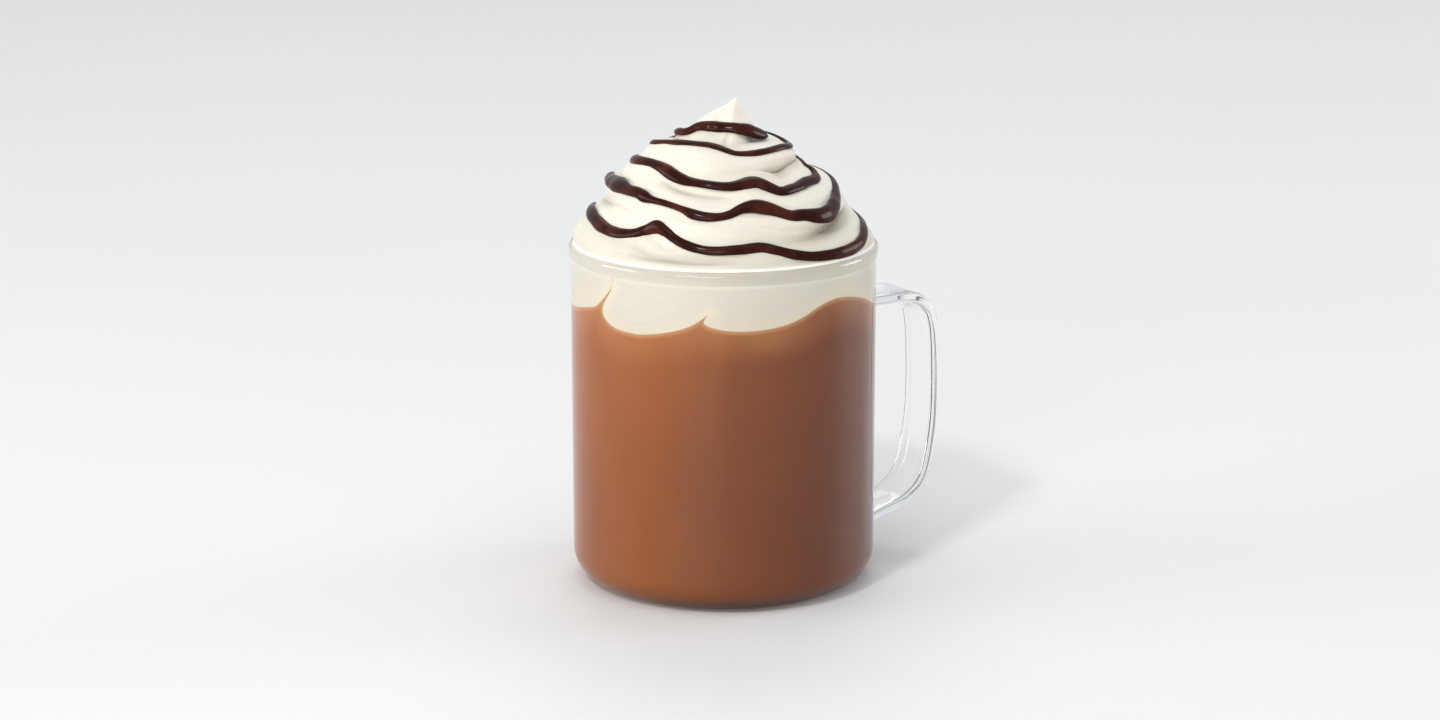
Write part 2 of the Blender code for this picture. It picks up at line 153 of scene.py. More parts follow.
def face_outwards(mesh):
    """Turns every face of a closed mesh so that its front is outside."""
    bm = bmesh.new()
    bm.from_mesh(mesh)
    bmesh.ops.recalc_face_normals(bm, faces=bm.faces)
    bm.to_mesh(mesh)
    bm.free()


def skin(name, rings, first_end, last_end, sharp_ring=None):
    """A closed skin of four-sided faces over rings of equal length, with a point at either end.

    The shading breaks at edges that turn by more than CRISP_ANGLE, and along the sharp ring, if given.
    """
    rings = np.array(rings)
    count, columns = rings.shape[:2]
    points = np.vstack([rings.reshape(-1, 3), [first_end], [last_end]]) * MM
    here = np.arange(columns)
    after = np.roll(here, -1)
    faces = []
    for row in range(count - 1):
        low, high = row * columns, (row + 1) * columns
        faces += np.column_stack([low + here, low + after, high + after, high + here]).tolist()
    last = (count - 1) * columns
    faces += np.column_stack([after, here, np.full(columns, count * columns)]).tolist()
    faces += np.column_stack([last + here, last + after, np.full(columns, count * columns + 1)]).tolist()
    mesh = bpy.data.meshes.new(name)
    mesh.from_pydata(points.tolist(), [], faces)
    piece = link_piece(name, mesh)
    mesh.set_sharp_from_angle(angle=np.radians(CRISP_ANGLE))
    if sharp_ring is not None:
        first = sharp_ring * columns
        for edge in mesh.edges:
            if first <= min(edge.vertices) and max(edge.vertices) < first + columns:
                edge.use_edge_sharp = True
    return piece


# %% [markdown]
# ## The turned glass
# The body is borosilicate glass, blown and turned: a straight wall 3 mm thick, a rounded corner at the
# foot and a rolled bead at the rim. A cylinder with a Solidify modifier would give the wall, but not the
# bead and not the tight corner, where the glass bends light most. So the section of the wall is drawn
# once, from the middle of the underside round to the middle of the floor inside, and spun about the axis.

# %% Draw the section of the wall
LIP_RADIUS = glass_high.y / MM
MUG_HEIGHT = glass_high.z / MM
MUG_RADIUS = LIP_RADIUS - 0.6
WALL = 3.0
INNER_RADIUS = MUG_RADIUS - WALL
BASE_THICKNESS = 3.5
CORNER_RADIUS = 8.7
LIP_HEIGHT = 3.9
LIP_CROWN = 1.4
BEAD = [(0.0, LIP_HEIGHT + 0.5), (0.04, LIP_HEIGHT), (0.36, 3.45), (0.57, 2.6), (0.6, LIP_CROWN)]
FINE_STEPS = 14
WALL_ROWS = 22
FLOOR_ROWS = 8
LIP_MIDDLE = ((INNER_RADIUS + LIP_RADIUS) / 2, MUG_HEIGHT - LIP_CROWN)
LIP_REACH = (LIP_RADIUS - INNER_RADIUS) / 2


def wall_section():
    """The glass section as (radius, height), from the underside's middle round to the floor's middle."""
    corner = (MUG_RADIUS - CORNER_RADIUS, CORNER_RADIUS)
    inner_corner = (corner[0], BASE_THICKNESS + CORNER_RADIUS - WALL)
    inner_radii = (CORNER_RADIUS - WALL, CORNER_RADIUS - WALL)
    bead = [(MUG_RADIUS + out, MUG_HEIGHT - down) for out, down in BEAD]
    line = [(r, 0.0) for r in np.linspace(0, corner[0], FLOOR_ROWS)]
    line += arc_points(corner, (CORNER_RADIUS, CORNER_RADIUS), -90, 0, FINE_STEPS)[1:]
    line += [(MUG_RADIUS, z) for z in np.linspace(CORNER_RADIUS, bead[0][1], WALL_ROWS)[1:-1]]
    line += smooth_through(bead, 4).tolist()
    line += arc_points(LIP_MIDDLE, (LIP_REACH, LIP_CROWN), 0, 180, 2 * FINE_STEPS)[1:]
    line += [(INNER_RADIUS, z) for z in np.linspace(LIP_MIDDLE[1], inner_corner[1], WALL_ROWS)[1:-1]]
    line += arc_points(inner_corner, inner_radii, 0, -90, FINE_STEPS)
    line += [(r, BASE_THICKNESS) for r in np.linspace(inner_corner[0], 0, FLOOR_ROWS)[1:]]
    return line


section = wall_section()
print("section:", len(section), "points, up to", round(max(z for r, z in section), 1), "mm")

# %% Spin the section
GLASS_STEPS = 240


def turned_glass():
    """The mug's body as one closed mesh."""
    bm = bmesh.new()
    points = [bm.verts.new((r, 0.0, z)) for r, z in section]
    edges = [bm.edges.new(pair) for pair in zip(points, points[1:])]
    bmesh.ops.spin(bm, geom=points + edges, cent=(0, 0, 0), axis=(0, 0, 1), angle=2 * np.pi,
                   steps=GLASS_STEPS, use_merge=True)
    bmesh.ops.remove_doubles(bm, verts=bm.verts, dist=0.001)
    bmesh.ops.recalc_face_normals(bm, faces=bm.faces)
    bmesh.ops.scale(bm, vec=(MM, MM, MM), verts=bm.verts)
    mesh = bpy.data.meshes.new("glass")
    bm.to_mesh(mesh)
    bm.free()
    return link_piece("glass", mesh)


glass = turned_glass()

# %% [markdown]
# ## The strap handle
# The handle is a flat ribbon of solid glass, pressed to the wall while both are hot. Its two ends flow
# out into the wall a little. A curve object with a bevel profile could make the ribbon, but its ends
# could not swell, so a rounded section is swept down the handle's middle line and grows as it nears the
# wall. Its colour, a pale grey with bright edges, comes later and only from the way that solid glass
# bends the light.

# %% Sweep the strap
STRAP_WIDTH = 14.5
STRAP_THICKNESS = 3.1
STRAP_EDGE_RADIUS = 1.1
STRAP_LINE = [(40.5, 73.7), (50.0, 74.1), (57.0, 74.0), (62.5, 71.2), (65.2, 65.0), (66.1, 49.0),
              (65.5, 35.0), (62.6, 21.5), (57.0, 15.1), (49.0, 12.1), (40.5, 9.6)]
STRAP_STEPS = 9
WELD_SWELL = 0.42
WELD_REACH = 1.3
EDGE_STEPS = 5


def strap():
    """The ribbon, from inside the wall at the top round to inside the wall near the foot."""
    side_middle = STRAP_WIDTH / 2 - STRAP_EDGE_RADIUS
    out_middle = STRAP_THICKNESS / 2 - STRAP_EDGE_RADIUS
    outline = []
    for quarter, (side, out) in enumerate(((1, 1), (-1, 1), (-1, -1), (1, -1))):
        middle = (side * side_middle, out * out_middle)
        start, radii = 90 * quarter, (STRAP_EDGE_RADIUS, STRAP_EDGE_RADIUS)
        outline += arc_points(middle, radii, start, start + 90, EDGE_STEPS)
    line = smooth_through(STRAP_LINE, STRAP_STEPS)
    along = np.gradient(line, axis=0)
    along /= np.linalg.norm(along, axis=1)[:, None]
    rings = []
    for (x, z), (dx, dz) in zip(line, along):
        weld = WELD_SWELL * np.exp(-max(x - MUG_RADIUS, 0) / WELD_REACH)
        wide, thick = 1 + weld / 3, 1 + weld
        rings.append([(x - out * thick * dz, side * wide, z + out * thick * dx) for side, out in outline])
    ends = [np.mean(rings[0], axis=0), np.mean(rings[-1], axis=0)]
    return skin("strap", rings, ends[0], ends[1])


ribbon = strap()

# %% Weld the strap to the body
WELD_CRISP_ANGLE = 45.0


def weld(target, extra):
    """Joins extra to target with an exact Boolean union, so that no glass wall is left in the joint."""
    face_outwards(extra.data)
    union = target.modifiers.new("weld", "BOOLEAN")
    union.operation = "UNION"
    union.solver = "EXACT"
    union.object = extra
    bpy.context.view_layer.update()
    joined = bpy.data.meshes.new_from_object(target.evaluated_get(bpy.context.evaluated_depsgraph_get()))
    target.modifiers.clear()
    target.data = joined
    joined.shade_smooth()
    joined.set_sharp_from_angle(angle=np.radians(WELD_CRISP_ANGLE))
    bpy.data.objects.remove(extra)
    print("welded:", len(joined.polygons), "faces")


weld(glass, ribbon)

# %% [markdown]
# ## The wavy line between cream and chocolate
# Warm cream sinks a little at the wall, in broad round lobes, and between two lobes the drink climbs up
# in a thin pointed lick that bends over. Painting the line as a colour on one cylinder would be quick,
# but the drink and the cream are two things and have to meet in one shape. So the line is written as
# heights over angles, one stroke for each stretch between two licks. A second rule bends each lick over
# to the right, from its foot (the second number in LICKS) over its tip (the third), by as many degrees as
# the fourth number says.

# %% Draw the line
FILL_RADIUS = INNER_RADIUS + 0.15
LINE_STROKES = [
    [(185.2, 88.4), (185.4, 85.8), (185.7, 83.0), (186.3, 81.1), (187.8, 79.2), (190.8, 77.7),
     (195.0, 76.7), (201.0, 76.3), (208.0, 76.4), (218.0, 77.7), (224.0, 78.9), (227.4, 80.0),
     (228.8, 81.3), (229.5, 83.3)],
    [(229.5, 83.3), (229.9, 81.9), (232.0, 80.5), (237.0, 79.3), (244.0, 78.6), (253.0, 78.6),
     (262.0, 79.3), (268.0, 80.3), (273.0, 81.6), (277.5, 83.0), (282.0, 84.1), (287.5, 84.7),
     (292.0, 84.6), (297.0, 84.1), (302.0, 83.3), (307.0, 82.3), (313.0, 80.8), (320.0, 79.0),
     (334.0, 77.8), (352.0, 79.4), (380.0, 81.6), (396.0, 79.6), (404.0, 78.4), (406.8, 80.2),
     (408.0, 83.5)],
    [(48.0, 83.5), (48.8, 81.0), (52.0, 78.0), (60.0, 77.2), (84.0, 80.6), (99.0, 79.0), (106.0, 78.2),
     (109.0, 80.0), (110.0, 83.0)],
    [(110.0, 83.0), (110.8, 80.4), (114.0, 78.2), (124.0, 77.8), (138.0, 78.9), (150.0, 78.2),
     (162.0, 78.4), (171.0, 79.5), (177.0, 80.4), (180.6, 81.0), (182.4, 81.7), (183.6, 83.2),
     (184.4, 85.4), (185.2, 88.4)],
]
LICKS = [(48.0, 79.0, 83.5, 4.2), (110.0, 79.0, 83.0, 4.2),
         (185.2, 79.3, 88.4, 8.0), (229.5, 79.2, 83.3, 4.8)]
LICK_SPREAD = 10.5
LEAN_PEAK = 1.15
RIM_CLEAR = 93.5
STROKE_STEPS = 8


def stroke_table():
    """All strokes as one table of angle and height, running once round from 0 to 360 degrees."""
    rows = np.vstack([smooth_through(stroke, STROKE_STEPS) for stroke in LINE_STROKES])
    rows = np.vstack([rows, rows - (360, 0), rows + (360, 0)])
    rows[:, 0] += np.arange(len(rows)) % 2 * 1e-6
    return rows[np.argsort(rows[:, 0], kind="stable")]


LINE_TABLE = stroke_table()


def line_height(angles):
    """Height of the wavy line at angles, before the licks are bent over."""
    return np.interp(angles, LINE_TABLE[:, 0], LINE_TABLE[:, 1])


def bend_over(angles, heights):
    """Angles turned to the right near each lick: not at its foot, most just over its tip, not at the rim.

    The turn rises and falls smoothly with height, because a kink would fold the narrow faces at the tip.
    """
    turned = np.array(angles, float)
    for lick, foot, tip, lean in LICKS:
        peak = foot + LEAN_PEAK * (tip - foot)
        climb = np.sin(np.pi / 2 * np.clip((heights - foot) / (peak - foot), 0, 1)) ** 2
        back = np.clip((heights - peak) / (RIM_CLEAR - peak), 0, 1)
        apart = (angles - lick + 180) % 360 - 180
        near = np.exp(-(apart / LICK_SPREAD) ** 2)
        turned = turned + lean * climb * (1 - back**2 * (3 - 2 * back)) * near
    return turned


line_lowest, line_highest = LINE_TABLE[:, 1].min(), LINE_TABLE[:, 1].max()
print("line from", round(line_lowest, 1), "to", round(line_highest, 1), "mm above the table")

# %% Choose the columns
EVEN_COLUMNS = 380
LICK_ROOM = 2.7
LICK_COLUMNS = (-2.4, -1.8, -1.3, -0.9, -0.6, -0.35, -0.15, 0.0, 0.1, 0.2, 0.35, 0.6, 0.9, 1.3, 1.8, 2.4)


def column_angles():
    """Angles of the upright columns of points: even all round, and crowded at each lick's thin tip."""
    even = np.linspace(0, 360, EVEN_COLUMNS, endpoint=False)
    licks = np.array([lick[0] for lick in LICKS])
    even = even[np.abs(even[:, None] - licks).min(axis=1) > LICK_ROOM]
    return np.array(sorted(even.tolist() + [lick + step for lick in licks for step in LICK_COLUMNS]))


COLUMNS = column_angles()
LINE_AT_COLUMNS = line_height(COLUMNS)
print("columns:", len(COLUMNS))


# %% Measure how near a point is to the line
LINE_SAMPLES = 2400
SEARCH_REACH = 8.0


def distance_to_line(points):
    """Distance from points on the wall to the wavy line, measured on the unrolled wall."""
    turns = np.linspace(0, 360, LINE_SAMPLES, endpoint=False)
    fine = np.sort(np.concatenate([turns, COLUMNS]))
    heights = line_height(fine)
    line = np.column_stack([np.radians(bend_over(fine, heights)) * FILL_RADIUS, heights])
    line = np.vstack([line - (2 * np.pi * FILL_RADIUS, 0), line, line + (2 * np.pi * FILL_RADIUS, 0)])
    around = np.arctan2(points[:, 1], points[:, 0]) % (2 * np.pi) * FILL_RADIUS
    flat = np.column_stack([around, points[:, 2]])
    nearest = np.zeros(len(flat))
    line = line[np.argsort(line[:, 0])]
    for k, (x, z) in enumerate(flat):
        low, high = np.searchsorted(line[:, 0], (x - SEARCH_REACH, x + SEARCH_REACH))
        near = line[low:high]
        nearest[k] = np.sqrt(((near - (x, z)) ** 2).sum(axis=1).min())
    return nearest


def store_number(piece, name, values):
    """Keeps one number for each point on the mesh, for the material to read."""
    layer = piece.data.attributes.new(name, "FLOAT", "POINT")
    layer.data.foreach_set("value", np.asarray(values, np.float32))


# %% [markdown]
# ## The hot chocolate
# Milky cocoa fills the glass and wets it everywhere, so there is no air between the two. A drink modelled
# with a gap looks thinner than the mug and has dark edges, because light turns back at the gap. The skin
# of the drink is therefore pushed 0.15 mm into the glass, and its top follows the wavy line. Far from the
# glass its shape doesn't show, so a low dish closes it.

# %% Fill the glass
DRINK_PLAIN_HEIGHT = 62.0
DRINK_ROWS = 46
INTO_GLASS = FILL_RADIUS - INNER_RADIUS
DISH_LEVEL = 80.0
DISH_SHARES = (0.97, 0.9, 0.7, 0.35)
FLOOR_MIDDLE = 2.0
FLOOR_RINGS = 5
PLAIN_ROWS = 14


def drink():
    """The drink as one closed skin, from the middle of the floor up the wall and over the hidden top."""
    corner = (MUG_RADIUS - CORNER_RADIUS, BASE_THICKNESS + CORNER_RADIUS - WALL)
    bend = CORNER_RADIUS - WALL + INTO_GLASS
    floor = np.linspace(FLOOR_MIDDLE, corner[0], FLOOR_RINGS, endpoint=False)
    rings = [ring_at(COLUMNS, r, BASE_THICKNESS - INTO_GLASS) for r in floor]
    rings += [ring_at(COLUMNS, r, z) for r, z in arc_points(corner, (bend, bend), -90, 0, FINE_STEPS)]
    plain_wall = np.linspace(corner[1], DRINK_PLAIN_HEIGHT, PLAIN_ROWS)[1:]
    rings += [ring_at(COLUMNS, FILL_RADIUS, z) for z in plain_wall]
    for share in np.linspace(0, 1, DRINK_ROWS)[1:]:
        heights = DRINK_PLAIN_HEIGHT + (LINE_AT_COLUMNS - DRINK_PLAIN_HEIGHT) * share
        rings.append(ring_at(bend_over(COLUMNS, heights), FILL_RADIUS, heights))
    line_ring = len(rings) - 1
    for share in DISH_SHARES:
        heights = DISH_LEVEL + (LINE_AT_COLUMNS - DISH_LEVEL) * share**3
        rings.append(ring_at(bend_over(COLUMNS, heights), FILL_RADIUS * share, heights))
    ends = [(0, 0, BASE_THICKNESS - INTO_GLASS), (0, 0, DISH_LEVEL)]
    return skin("hot_chocolate_fill", rings, *ends, line_ring)


chocolate = drink()
drink_points = np.array([v.co for v in chocolate.data.vertices]) / MM
store_number(chocolate, "line_distance", distance_to_line(drink_points))

# %% [markdown]
# ## The piped cream
# The cream is pressed through a nozzle in one rising spiral, so it has tiers with deep creases between
# them, broad swells where the hand slowed down, fine streaks along the way it flowed, and a tip that is
# pulled aside. Sculpting by hand would give such a form too. Here it is a recipe: the dome's outline is
# turned, then each crease sinks it along a route that climbs round the cream, steeply under the tier
# above and gently over the tier below. The plain solid of the frame has the same recipe with fewer
# points.

# %% Write down the dome
DOME = [(41.45, 95.0), (40.9, 96.5), (39.6, 99.0), (36.8, 102.4), (35.1, 105.8), (32.8, 108.8),
        (30.3, 112.2), (24.5, 116.4), (22.0, 119.4), (17.2, 122.2), (10.3, 125.0), (7.4, 127.2),
        (5.1, 129.4), (3.0, 131.4), (1.35, 133.1), (0.75, 133.9), (0.3, 134.3)]
FOOT_LENGTH = 1.5
TIP_HEIGHT = cream_high.z / MM
SWAY_ANGLE = 330.0
SWAY = [(95.5, 0.0), (100, -0.2), (107.5, -0.1), (111, -1.2), (114, -2.5), (117.5, -1.7), (120, -0.6),
        (123, -1.5), (126, 0.0), (129.5, 0.8), (133, 2.9), (134.5, 3.3)]
CREASES = [
    [(200, 5.6, 0.0), (207, 3.4, 0.9), (214, 1.7, 1.4), (224, 0.8, 1.5), (234, 0.9, 1.3),
     (244, 2.4, 0.8), (256, 4.8, 0.6), (268, 6.3, 1.2), (280, 7.2, 2.2), (292, 8.4, 2.9),
     (305, 9.7, 3.0), (318, 10.8, 2.4), (329, 11.3, 0.9), (345, 12.6, 0.6), (370, 14.6, 1.1),
     (400, 17.0, 1.4), (460, 20.0, 1.3), (520, 23.0, 1.0), (575, 25.0, 0.5), (600, 27.0, 0.3),
     (622, 29.2, 0.5), (640, 29.9, 1.6), (655, 29.2, 2.6), (668, 29.8, 2.6), (690, 29.6, 2.1),
     (720, 30.6, 1.6), (760, 34.0, 1.3), (800, 37.0, 1.2), (840, 39.8, 1.4), (870, 41.2, 1.6),
     (920, 42.0, 0.9), (970, 42.5, 0.8), (1020, 43.0, 1.4), (1060, 44.5, 1.0), (1120, 47.5, 0.5),
     (1180, 49.0, 0.0)],
    [(200, 25.5, 0.0), (212, 24.4, 1.0), (222, 22.8, 1.6), (232, 21.6, 1.5), (242, 20.8, 1.2),
     (258, 19.8, 0.0)],
    [(202, 8.8, 0.0), (209, 7.3, 0.6), (216, 5.1, 0.7), (226, 3.6, 0.0)],
    [(340, 3.0, 0.0), (380, 4.5, 1.0), (440, 7.5, 1.3), (490, 11.6, 1.7), (512, 13.4, 2.2),
     (530, 14.6, 1.5), (548, 15.4, 0.6), (566, 16.0, 0.0)],
]
CREASE_DEEPENING = 1.2
CREASE_ABOVE = 4.2
CREASE_BELOW = 7.5
CREASE_STEEPNESS = 1.5
CREASE_SOFTNESS = 2.2
FOOT_FADE = 1.5
TIP_FADE = 6.0
DENTS = [(291, 29.4, 13, 3.4, 1.3), (251, 43.6, 5, 2.6, 0.6), (300, 13.5, 17, 2.2, 0.5),
         (236, 18.5, 14, 2.0, 0.4), (208, 32.5, 12, 2.4, 0.35), (262, 10.5, 15, 2.4, 0.35)]
SWELLS = [(0.45, 2, 20, 9.0), (0.35, 3, 130, 6.5), (0.25, 5, 75, 4.0)]


def dome_line():
    """The dome's outline sampled finely: distance along it, radius, height and the outward normal."""
    line = smooth_through(DOME, 8)
    steps = np.gradient(line, axis=0)
    steps /= np.linalg.norm(steps, axis=1)[:, None]
    distance = np.concatenate([[0], np.cumsum(np.linalg.norm(np.diff(line, axis=0), axis=1))]) - FOOT_LENGTH
    return np.column_stack([distance, line, steps[:, 1], -steps[:, 0]])


DOME_TABLE = dome_line()
print("the dome's outline is", round(DOME_TABLE[-1, 0], 1), "mm long")


# %% Sink the creases
def crease_relief(angles, distances):
    """How far the creases sink the surface: steeply under the fold above, gently over the one below."""
    relief = np.zeros(angles.shape)
    for crease in CREASES:
        route = smooth_through(crease, 6)
        first = int(np.floor((route[0, 0] - 360) / 360))
        for lap in range(first, int(route[-1, 0] // 360) + 1):
            running = angles + 360 * lap
            on = (running >= route[0, 0]) & (running <= route[-1, 0])
            away = distances - np.interp(running, route[:, 0], route[:, 1])
            depth = np.interp(running, route[:, 0], route[:, 2]) * on
            steep = np.clip(1 - away / CREASE_ABOVE, 0, 1) ** CREASE_STEEPNESS * (away >= 0)
            gentle = np.clip(1 + away / CREASE_BELOW, 0, 1) ** CREASE_SOFTNESS * (away < 0)
            relief = np.maximum(relief, CREASE_DEEPENING * depth * (steep + gentle))
    return relief


def cream_surface(angles, distances):
    """Points on the piped cream at angles and distances up the dome's outline."""
    along, *columns = DOME_TABLE.T
    radius, height, out, up = (np.interp(distances, along, column) for column in columns)
    relief = crease_relief(angles, distances)
    for depth, waves, phase, length in SWELLS:
        relief = relief + depth * np.sin(np.radians(waves * angles + phase) + distances / length)
    for angle, distance, half_angle, half_distance, depth in DENTS:
        apart = ((angles - angle + 180) % 360 - 180) / half_angle
        relief = relief + depth * np.exp(-apart**2 - ((distances - distance) / half_distance) ** 2)
    fade = np.clip(distances / FOOT_FADE, 0, 1) * np.clip((DOME_TABLE[-1, 0] - distances) / TIP_FADE, 0, 1)
    radius = radius - out * relief * fade
    height = height - up * relief * fade
    sway = np.interp(height, *np.array(SWAY).T)
    points = ring_at(angles, radius, height)
    points[:, 0] += sway * np.cos(np.radians(SWAY_ANGLE))
    points[:, 1] += sway * np.sin(np.radians(SWAY_ANGLE))
    return points


# %% Build the cream
CREAM_WALL_ROWS = 26
CREAM_DOME_ROWS = 190
LIP_COVER = 66.0
LIP_ROWS = 10
DISH_GAP = 0.1
EVENING_LENGTH = 14.0
STREAKS = [(0.5, (0.035, 0.035, 0.15)), (0.4, (0.06, 0.06, 0.42)), (0.11, (0.12, 0.12, 1.1))]
STREAK_SLANT = 0.12
RIM_CALM = (1.5, 4.0)
TIP_CALM = 5.0


def cream():
    """The cream as one closed skin: hidden underside, wall down to the wavy line, rim and dome."""
    rings = []
    for share in reversed(DISH_SHARES):
        heights = DISH_LEVEL + (LINE_AT_COLUMNS - DISH_LEVEL) * share**3 - DISH_GAP
        rings.append(ring_at(bend_over(COLUMNS, heights), FILL_RADIUS * share, heights))
    line_ring = len(rings)
    for share in np.linspace(0, 1, CREAM_WALL_ROWS):
        heights = LINE_AT_COLUMNS + (LIP_MIDDLE[1] - LINE_AT_COLUMNS) * share
        rings.append(ring_at(bend_over(COLUMNS, heights), FILL_RADIUS, heights))
    lip_radii = (LIP_REACH - INTO_GLASS, LIP_CROWN - INTO_GLASS)
    over_lip = arc_points(LIP_MIDDLE, lip_radii, 180, LIP_COVER, LIP_ROWS)[1:]
    rings += [ring_at(COLUMNS, r, z) for r, z in over_lip]
    sunk = [np.zeros(len(COLUMNS))] * len(rings)
    even = COLUMNS[0] + np.arange(len(COLUMNS)) * 360 / len(COLUMNS)
    for distance in np.linspace(-FOOT_LENGTH, DOME_TABLE[-1, 0], CREAM_DOME_ROWS):
        share = np.clip(distance / EVENING_LENGTH, 0, 1)
        angles, distances = COLUMNS + (even - COLUMNS) * share, np.full(len(COLUMNS), distance)
        rings.append(cream_surface(angles, distances))
        sunk.append(crease_relief(angles % 360, distances))
    tip = rings[-1].mean(axis=0)
    tip[2] = TIP_HEIGHT
    piece = skin("piped_cream", rings, (0, 0, DISH_LEVEL - DISH_GAP), tip, line_ring)
    store_number(piece, "crease_depth", np.concatenate([np.ravel(sunk), [0, 0]]))
    return piece


cream_piece = cream()
cream_points = np.array([v.co for v in cream_piece.data.vertices]) / MM


# %% Mark where cream has melted into the drink
MELTED = [(170, 13, 1.3), (250, 9, 0.3), (300, 14, 0.4), (60, 15, 0.8), (128, 10, 0.6)]


def melting(points):
    """How much wider than usual the warm edge is, by angle; where it is wide, more cream has melted."""
    angles = np.degrees(np.arctan2(points[:, 1], points[:, 0]))
    wider = np.ones(len(points))
    for angle, half_angle, more in MELTED:
        apart = ((angles - angle + 180) % 360 - 180) / half_angle
        wider = wider + more * np.exp(-apart**2)
    return wider


melted = melting(cream_points)
print("the warm edge is up to", round(melted.max(), 1), "times as wide where most cream has melted")

# %% Comb fine streaks into the cream
def streaks(piece, points):
    """Moves the cream above the rim in and out along its normals, in long shallow streaks."""
    normals = np.array([v.normal for v in piece.data.vertices])
    above_rim = np.clip((points[:, 2] - MUG_HEIGHT - RIM_CALM[0]) / RIM_CALM[1], 0, 1)
    fade = above_rim * np.clip((TIP_HEIGHT - points[:, 2]) / TIP_CALM, 0, 1)
    side = np.array([np.cos(np.radians(SWAY_ANGLE)), np.sin(np.radians(SWAY_ANGLE)), 0.0])
    slanted = points + np.outer(points @ side * STREAK_SLANT, (0, 0, 1))
    depth = np.zeros(len(points))
    for k in np.flatnonzero(fade > 0):
        for size, waves in STREAKS:
            depth[k] += size * noise.noise(Vector(slanted[k] * waves))
    moved = points + normals * (depth * fade)[:, None]
    piece.data.vertices.foreach_set("co", (moved * MM).ravel())
    piece.data.update()
    print("streaks:", round(np.abs(depth).max(), 2), "mm deep at most")


streaks(cream_piece, cream_points)

# %% Measure the cream's distance from the line
FAR_AWAY = 50.0
on_wall = cream_points[:, 2] < LIP_MIDDLE[1] + 0.01
line_distance = np.full(len(cream_points), FAR_AWAY)
line_distance[on_wall] = distance_to_line(cream_points[on_wall])
store_number(cream_piece, "line_distance", line_distance / melted)
print(np.count_nonzero(on_wall), "points of the cream lie on the wall")

# %% [markdown]
# ## The chocolate drizzle
# Thick sauce is poured in one thread while the mug is turned, so it lies as a spiral of laps that dip and
# climb over the tiers. It is widest where the hand waited, and thin where it hurried. A curve object with
# a round bevel would look like a cable lying loose, so the thread is swept as a flattened bead that is
# half sunk in the cream, and its width is written down along the route.

